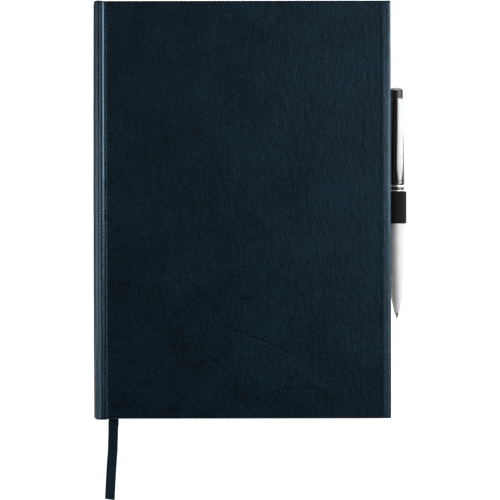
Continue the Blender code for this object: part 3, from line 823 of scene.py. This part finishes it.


# The endpapers and the leaves.


def sheet_grids(xs, ys, height_at, thick):
    """Upper and lower grids of a thin sheet whose middle is at height_at(x, y)."""
    upper = [[Vector((x, y, height_at(x, y) + thick / 2)) for x in xs] for y in ys]
    lower = [[Vector((x, y, height_at(x, y) - thick / 2)) for x in xs] for y in ys]
    return upper, lower


def endpaper(side, look):
    """The pastedown, over the turned-in leather and across the joint to the book block."""
    low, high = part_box("front_pastedown")
    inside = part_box("front_leather")[0].z
    window_x, window_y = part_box("front_leather")[1].x - TURN_IN, COVER_HALF - TURN_IN
    start_x, end_x = -82.6 * MM, -80.9 * MM

    def height_at(x, y):
        sunk = smooth_step((window_x + 0.9 * MM - x) / (1.5 * MM))
        sunk *= smooth_step((window_y + 0.9 * MM - abs(y)) / (1.5 * MM))
        joint = smooth_step((x - start_x) / (end_x - start_x))
        root, plate = inside - 0.26 * MM, inside - 0.09 * MM + 0.13 * MM * sunk
        return root + (plate - root) * joint

    xs = between(-84.4 * MM, -82.6 * MM, 5)[:-1] + between(-82.6 * MM, -80.7 * MM, 18)
    xs += between(-80.7 * MM, window_x - 2.0 * MM, 24)[1:]
    xs += between(window_x - 2.0 * MM, window_x + 1.5 * MM, 12)[1:] + [high.x]
    edge = between(window_y - 2.0 * MM, window_y + 1.5 * MM, 12)
    ys = [low.y] + [-y for y in reversed(edge)]
    ys += between(-window_y + 2.0 * MM, window_y - 2.0 * MM, 20)[1:-1] + edge + [high.y]
    solid = slab(*sheet_grids(xs, ys, height_at, 0.14 * MM))
    made = on_side(side, "endpaper", solid, look, side + "_pastedown")
    bend_with_cover(made)


LEAVES = (
    ("front_flyleaf", "front_leaf", "endpaper"),
    ("log_leaf_1", "log_page_1", "page_paper"),
    ("log_leaf_2", "log_page_2", "page_paper"),
    ("back_flyleaf", "back_leaf", "endpaper"),
)
CURL = 22.0 * MM  # how far from the gutter a leaf's columns stand close together


def leaf(node_name, look):
    """A flat sheet held in the gutter, with its columns close together near it."""
    low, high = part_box(node_name)
    middle = (low.z + high.z) / 2
    root = -85.2 * MM
    xs = [root, (root + low.x) / 2] + between(low.x, low.x + CURL, 26)
    xs += between(low.x + CURL, high.x, 8)[1:]
    ys = between(low.y, high.y, 6)
    solid = slab(*sheet_grids(xs, ys, lambda x, y: middle, 0.13 * MM))
    made = piece(node_name + "_sheet", solid, look, [node_name])
    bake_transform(made)


# The sewn block.

SHEETS = 5  # folded sheets in a signature


def folded_sheet(low, high, number, draw):
    """One folded sheet of a signature, as a thin solid. Number 0 is the outermost."""
    pitch = (high.z - low.z) / (2 * SHEETS)
    thick = pitch * 0.88
    bottom, top = low.z + pitch * (number + 0.5), high.z - pitch * (number + 0.5)
    radius = (top - bottom) / 2
    fold_x = low.x + pitch * (number + 0.5) + radius
    centre_z = (top + bottom) / 2
    fore_low, fore_high = (high.x - draw.uniform(0.0, 0.09) * MM for _ in range(2))
    line = [(fore_low, bottom), (fold_x + 8.0 * MM, bottom)]
    for angle in between(-90.0, -270.0, 10):
        a = math.radians(angle)
        line.append((fold_x + radius * math.cos(a), centre_z + radius * math.sin(a)))
    line += [(fold_x + 8.0 * MM, top), (fore_high, top)]
    normals = line_normals(line)
    tail, head = low.y + draw.uniform(0.0, 0.07) * MM, high.y - draw.uniform(0.0, 0.07) * MM
    outer, inner = [], []
    for y in (tail, 0.0, head):
        outer.append([Vector((x, y, z)) + n * (thick / 2) for (x, z), n in zip(line, normals)])
        inner.append([Vector((x, y, z)) - n * (thick / 2) for (x, z), n in zip(line, normals)])
    return slab(outer, inner)


def signatures(plain, ruled):
    draw = random.Random(8)
    for number in range(1, 9):
        name = f"signature_{number:02d}"
        low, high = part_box(name)
        sheets = [folded_sheet(low, high, sheet, draw) for sheet in range(SHEETS)]
        look = ruled if number == 8 else plain
        made = piece(f"folded_pages_{number:02d}", joined(sheets), look, [name])
        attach(made, "page_block")


def end_band(name, look):
    """A bead of wound thread, one ridge for each turn."""
    low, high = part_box(name)
    centre_x, centre_y = (low.x + high.x) / 2, (low.y + high.y) / 2
    radius = (high.y - low.y) / 2
    heights = between(low.z, high.z, 100)
    rings = []
    for z in heights:
        ridge = abs(math.sin(math.pi * z / (BAND_PITCH / 2)))
        end = min(z - low.z, high.z - z)
        across = radius * (0.9 + 0.1 * ridge) * (0.55 + 0.45 * rise(end, 0.0, 0.4))
        turns = [math.tau * step / 20 for step in range(20)]
        ring = [(centre_x + across * math.cos(a), centre_y + across * math.sin(a), z) for a in turns]
        rings.append([Vector(point) for point in ring])
    made = piece(name + "_threads", loft(rings), look, [name], crisp=60.0)
    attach(made, "page_block")


def loft(rings, closed=False):
    """A solid through rings of points: capped at its two ends, or joined end to end."""
    count = len(rings[0])
    points = [p for ring in rings for p in ring]
    faces = faces_of_grid(len(rings), count, closed_rows=closed, closed_columns=True)
    if not closed:
        faces.append(tuple(reversed(range(count))))
        faces.append(tuple(range(len(points) - count, len(points))))
    return points, faces


# The pen loop.

PEN_LOW, PEN_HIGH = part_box("pen_lower_barrel")
PEN_X, PEN_Z = (PEN_LOW.x + PEN_HIGH.x) / 2, (PEN_LOW.z + PEN_HIGH.z) / 2
LOOP_RADIUS = 5.5 * MM
RIB_PITCH = 1.05 * MM


def loop_line():
    """The middle of the elastic as (x, z): out of the cover, round the pen and back in."""
    line = in_mm([(64.4, 3.30), (75.0, 3.30), (84.0, 3.30), (86.4, 3.31), (87.6, 3.36), (89.0, 3.55)])
    line += in_mm([(90.4, 3.80)])
    for angle in between(262.0, 560.0, 60):
        a = math.radians(angle)
        line.append((PEN_X + LOOP_RADIUS * math.cos(a), PEN_Z + LOOP_RADIUS * math.sin(a)))
    line += in_mm([(88.02, 6.0), (88.05, 5.1), (87.85, 4.4), (87.3, 3.9), (86.4, 3.62), (85.2, 3.52)])
    line += in_mm([(75.0, 3.50), (64.4, 3.50)])
    return line


def elastic_loop(look):
    low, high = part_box("pen_loop")
    line = loop_line()
    normals = [-normal for normal in line_normals(line)]
    ys = between(low.y, high.y, 110)
    outer, inner = [], []
    for (x, z), normal in zip(line, normals):
        share = rise(x, 86.0, 3.0)
        thick = 0.2 * MM + 0.56 * MM * share
        row_out, row_in = [], []
        for y in ys:
            edge = min(y - low.y, high.y - y)
            rim = 0.55 + 0.45 * rise(edge, 0.0, 0.35)
            rib = 0.10 * MM * share * abs(math.sin(math.pi * (y - low.y) / RIB_PITCH)) ** 0.7
            row_out.append(Vector((x, y, z)) + normal * (thick / 2 * rim + rib - 0.04 * MM * share))
            row_in.append(Vector((x, y, z)) - normal * (thick / 2 * rim))
        outer.append(row_out)
        inner.append(row_in)
    made = piece("elastic_loop", slab(outer, inner), look, ["pen_loop"], crisp=60.0)
    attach(made, "back_cover")


# The pen.


def ring_round_pen(radius, y, steps=96, slant=0.0):
    """A circle about the pen's axis, sheared so that it leans by slant radians."""
    ring = []
    for step in range(steps):
        a = math.tau * step / steps
        x, z = radius * math.cos(a), radius * math.sin(a)
        ring.append(Vector((PEN_X + x, y - math.tan(slant) * z, PEN_Z + z)))
    return ring


def filleted(profile, reach, closed=True, steps=4):
    """The profile with its corners rounded off, from this far along each side."""
    count = len(profile)
    result = []
    for i, corner in enumerate(profile):
        if not closed and i in (0, count - 1):
            result.append(corner)
            continue
        here = Vector(corner)
        before, after = Vector(profile[i - 1]), Vector(profile[(i + 1) % count])
        start = here + (before - here).normalized() * min(reach, (before - here).length * 0.45)
        end = here + (after - here).normalized() * min(reach, (after - here).length * 0.45)
        for t in between(0.0, 1.0, steps):
            result.append(tuple(start * (1 - t) ** 2 + here * (2 * t * (1 - t)) + end * t * t))
    return result


def smooth_profile(points, steps):
    return [tuple(p) for p in along(in_mm(points), steps * (len(points) - 1))]


def turned(name, profile, look, slot, stands_for, body, closed=True, crisp=32.0, slants=None):
    """A piece turned about the pen's axis from (radius, y) points."""
    slants = slants or [0.0] * len(profile)
    rings = [ring_round_pen(r, y, slant=s) for (r, y), s in zip(profile, slants)]
    made = piece(name, loft(rings, closed), look, stands_for, crisp=crisp)
    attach(made, body)
    return made


def lower_barrel(look):
    outside = [(4.70, 10.70), (4.84, 10.62), (4.88, 10.40)]
    outside = in_mm(outside) + smooth_profile(
        [(4.88, 10.2), (4.89, -8.0), (4.68, -28.0), (4.22, -42.4), (3.42, -53.0), (1.75, -61.7)], 12
    )
    outside += in_mm([(1.66, -62.05), (1.56, -62.25), (1.44, -62.3)])
    inside = in_mm([(1.35, -62.2), (1.35, -57.6), (2.15, -57.6), (2.15, -49.0), (3.7, -34.0), (3.7, 10.7)])
    profile = outside + inside
    turned("lower_barrel", profile, look, "satin_silver", ["pen_lower_barrel"], "pen_lower")


def upper_barrel(look):
    outside = in_mm([(3.70, 66.75), (3.84, 66.68), (3.90, 66.45)])
    outside += smooth_profile([(3.91, 66.2), (4.36, 48.0), (4.76, 28.0), (4.87, 15.1)], 12)
    outside += in_mm([(4.85, 14.86), (4.72, 14.75)])
    inside = in_mm([(3.9, 14.75), (3.75, 30.0), (3.1, 60.0), (3.1, 66.75)])
    profile = outside + inside
    turned("upper_barrel", profile, look, "black_lacquer", ["pen_upper_barrel"], "pen_upper")


def pen_rings(chrome, black):
    bore = 3.8
    for name, radius, low, high, look, slot, body in (
        ("lower_ring", 4.95, 10.85, 11.8, chrome, "chrome", "pen_lower"),
        ("band", 4.8, 11.86, 13.29, black, "black_lacquer", "pen_lower"),
        ("upper_ring", 4.95, 13.35, 14.6, chrome, "chrome", "pen_upper"),
    ):
        profile = in_mm([(radius, high), (radius, low), (bore, low), (bore, high)])
        profile = filleted(profile, 0.28 * MM)
        turned("pen_" + name + "_turned", profile, look, slot, ["pen_" + name], body)


CAP_SLANT = math.radians(16.0)


def pen_cap(black, grey):
    """The slanted end and the grey disc set into it."""
    base, top, reach = 66.98, 72.5, 3.915
    rounds = [(0.0, 3.4), (0.02, 3.6), (0.1, 3.78), (0.3, 3.88), (0.6, 3.91)]
    profile = in_mm([(2.0, 67.62), (3.68, 67.62), (3.70, 66.90), (3.86, 66.88), (reach, base)])
    slants = [0.0] * 5
    for share in (0.25, 0.5, 0.75):
        y = base + share * (top - 0.6 - base)
        profile.append((reach * MM, y * MM))
        slants.append(CAP_SLANT * share)
    for drop, radius in reversed(rounds):
        profile.append((radius * MM, (top - drop) * MM))
        slants.append(CAP_SLANT)
    profile += in_mm([(3.36, top), (3.33, top - 0.35), (1.0, top - 0.35)])
    slants += [CAP_SLANT] * 3
    capped = {"body": "pen_upper", "closed": False}
    turned("pen_cap_turned", profile, black, "black_lacquer", ["pen_cap"], slants=slants, **capped)
    disc = [(0.6, 72.48), (3.22, 72.48), (3.3, 72.65), (3.24, 72.82), (3.05, 72.92), (2.2, 73.02)]
    disc += [(1.2, 73.07), (0.4, 73.08)]
    slants = [CAP_SLANT] * len(disc)
    profile = in_mm(disc)
    turned("pen_cap_disc_turned", profile, grey, "grey_plastic", ["pen_cap_disc"], slants=slants, **capped)


CLIP_SECTION = (  # share of half the width, and height above the middle in mm
    (-1.0, 0.02), (-0.95, 0.18), (-0.84, 0.27), (-0.55, 0.34), (0.0, 0.38), (0.55, 0.34),
    (0.84, 0.27), (0.95, 0.18), (1.0, 0.02), (1.0, -0.26), (0.93, -0.36), (0.6, -0.38),
    (-0.6, -0.38), (-0.93, -0.36), (-1.0, -0.26),
)
CLIP_WIDTHS = (  # y and width, in mm, from the tip up
    (17.2, 0.5), (17.35, 1.4), (17.7, 1.95), (18.3, 2.35), (20.4, 2.9), (24.0, 3.66), (30.0, 4.06),
    (42.0, 4.24), (54.0, 4.36), (64.0, 4.36), (67.3, 4.3),
)


def read_off(table, value):
    """The value between the rows of a table, joined by straight lines."""
    for (a, low), (b, high) in zip(table, table[1:]):
        if value <= b:
            return low + (high - low) * max(0.0, (value - a) / (b - a))
    return table[-1][1]


def clip_line():
    """The clip's middle as (radius, y): from the tip up, over the shoulder and into the pen."""
    line = [(5.55, y) for y in (17.2, 17.35, 17.7, 18.3, 19.2, 20.4, 22.0, 24.0)]
    line += [(5.6, y) for y in (27.0, 30.0, 36.0, 42.0, 48.0, 54.0, 60.0, 64.0, 65.6)]
    for angle in between(0.0, 90.0, 8):
        a = math.radians(angle)
        line.append((4.75 + 0.85 * math.cos(a), 65.95 + 0.85 * math.sin(a)))
    line += [(4.4, 66.8), (3.95, 66.8)]
    return in_mm(line)


def pen_clip(look):
    """A domed strap that tapers to a round tip. It leans a little round the barrel."""
    line = clip_line()
    rings = []
    for i, (radius, y) in enumerate(line):
        before, after = line[max(i - 1, 0)], line[min(i + 1, len(line) - 1)]
        ahead = Vector((after[0] - before[0], after[1] - before[1])).normalized()
        turn = math.radians(16.5 + 6.0 * rise(y, 17.0, 40.0))
        outward = Vector((math.sin(turn), 0.0, math.cos(turn)))
        across = Vector((math.cos(turn), 0.0, -math.sin(turn)))
        normal = outward * ahead.y - Vector((0.0, 1.0, 0.0)) * ahead.x
        width = read_off(CLIP_WIDTHS, y / MM) * MM
        middle = Vector((PEN_X, y, PEN_Z)) + outward * radius
        rings.append([middle + across * (u * width / 2) + normal * (v * MM) for u, v in CLIP_SECTION])
    made = piece("pen_clip_strap", loft(rings), look, ["pen_clip"], crisp=50.0)
    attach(made, "pen_clip")


def refill_end(metal, steel):
    """The metal point that shows at the nose, and its ball."""
    profile = [(0.3, -50.15), (1.5, -50.15), (1.5, -51.05), (1.15, -51.35), (1.15, -63.3), (1.1, -63.4)]
    profile += [(0.78, -63.7), (0.72, -63.85), (0.42, -65.4), (0.34, -65.65), (0.2, -65.65)]
    solid_end = {"body": "pen_refill", "closed": False}
    turned("refill_point_turned", in_mm(profile), metal, "brass", ["refill_point"], **solid_end)
    centre, radius = -65.93, 0.27
    ball = []
    for angle in between(4.0, 176.0, 14):
        a = math.radians(angle)
        ball.append((radius * math.sin(a), centre + radius * math.cos(a)))
    turned("refill_ball_turned", in_mm(ball), steel, "spring_steel", ["refill_ball"], **solid_end)


def dress(look, *names):
    """A material for CAD nodes whose shape is right as it is."""
    for name in names:
        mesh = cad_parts[name].data
        mesh.materials.clear()
        mesh.materials.append(look)


camera()
ribbon()
studio()

leather = leather_look()
end_white = paper_look("endpaper", (0.66, 0.63, 0.54), (0.76, 0.73, 0.65))
page = paper_look("page paper", PAGE_DARK, PAGE_PALE)
ruled_page = ruled_look()
for book_side in ("front", "back"):
    cover_leather(book_side, leather)
    spine_leather(book_side, leather)
    endpaper(book_side, end_white)
for leaf_node, leaf_body, leaf_slot in LEAVES:
    leaf(leaf_node, end_white if leaf_slot == "endpaper" else ruled_page)
signatures(page, ruled_page)
thread = band_look()
end_band("head_band", thread)
end_band("tail_band", thread)
elastic_loop(elastic_look())

strokes = {"marks_across": 0.35, "depth": 0.004, "brushed": True}
silver = metal_look(
    "satin silver", (0.68, 0.69, 0.70), (0.74, 0.75, 0.76), (0.48, 0.58), metallic=0.12, **strokes
)
# The clip's silver is the barrel's satin silver made darker. This is painted shade that holds back the light
# the clip catches.
clip_silver_painted_darker = metal_look(
    "clip silver with painted shade", (0.42, 0.43, 0.44), (0.49, 0.50, 0.51), (0.40, 0.50), metallic=0.30, **strokes
)
bright = metal_look("chrome", (0.80, 0.81, 0.83), (0.90, 0.90, 0.91), (0.22, 0.32), 0.3, 0.002, metallic=0.85)
point = metal_look("brass", (0.38, 0.35, 0.27), (0.52, 0.48, 0.37), (0.25, 0.40), 0.3, 0.004)
steel_tones = (0.48, 0.48, 0.49), (0.60, 0.60, 0.61)
hard_steel = metal_look("steel", *steel_tones, (0.2, 0.35), 0.2, 0.004)
black = plastic_look(
    "black lacquer", (0.004, 0.004, 0.005), (0.008, 0.008, 0.009), (0.10, 0.2), 0.004, coat=0.6
)
matt_black = plastic_look("black cap", (0.008, 0.008, 0.009), (0.014, 0.014, 0.015), (0.36, 0.46), 0.004)
grey = plastic_look("grey plastic", (0.20, 0.205, 0.22), (0.28, 0.285, 0.31), (0.35, 0.5), 0.01)
lower_barrel(silver)
upper_barrel(black)
pen_rings(bright, black)
pen_cap(matt_black, grey)
pen_clip(clip_silver_painted_darker)
refill_end(point, hard_steel)

lining = paper_look("lining paper", (0.50, 0.44, 0.33), (0.62, 0.56, 0.43), on_cad=True)
inner_brass = metal_look(
    "sleeve brass", (0.52, 0.38, 0.16), (0.66, 0.50, 0.22), (0.25, 0.4), 0.3, 0.004, on_cad=True
)
coil_steel = metal_look("spring steel", *steel_tones, (0.25, 0.4), 0.2, 0.004, on_cad=True)
black_steel = metal_look(
    "black steel", (0.02, 0.02, 0.022), (0.04, 0.04, 0.043), (0.35, 0.5), 0.2, 0.004, on_cad=True
)
inner_white = plastic_look(
    "white plastic", (0.68, 0.68, 0.67), (0.78, 0.78, 0.77), (0.35, 0.5), 0.01, on_cad=True
)
dress(board_look(), "front_board", "back_board", "spine_board")
dress(gauze_look(), "mull")
dress(lining, "spine_lining")
dress(inner_brass, "pen_coupling_sleeve")
dress(coil_steel, "pen_spring")
dress(black_steel, "pen_clip_ring")
dress(inner_white, "refill_tube", "pen_plunger", "pen_twist_cam")
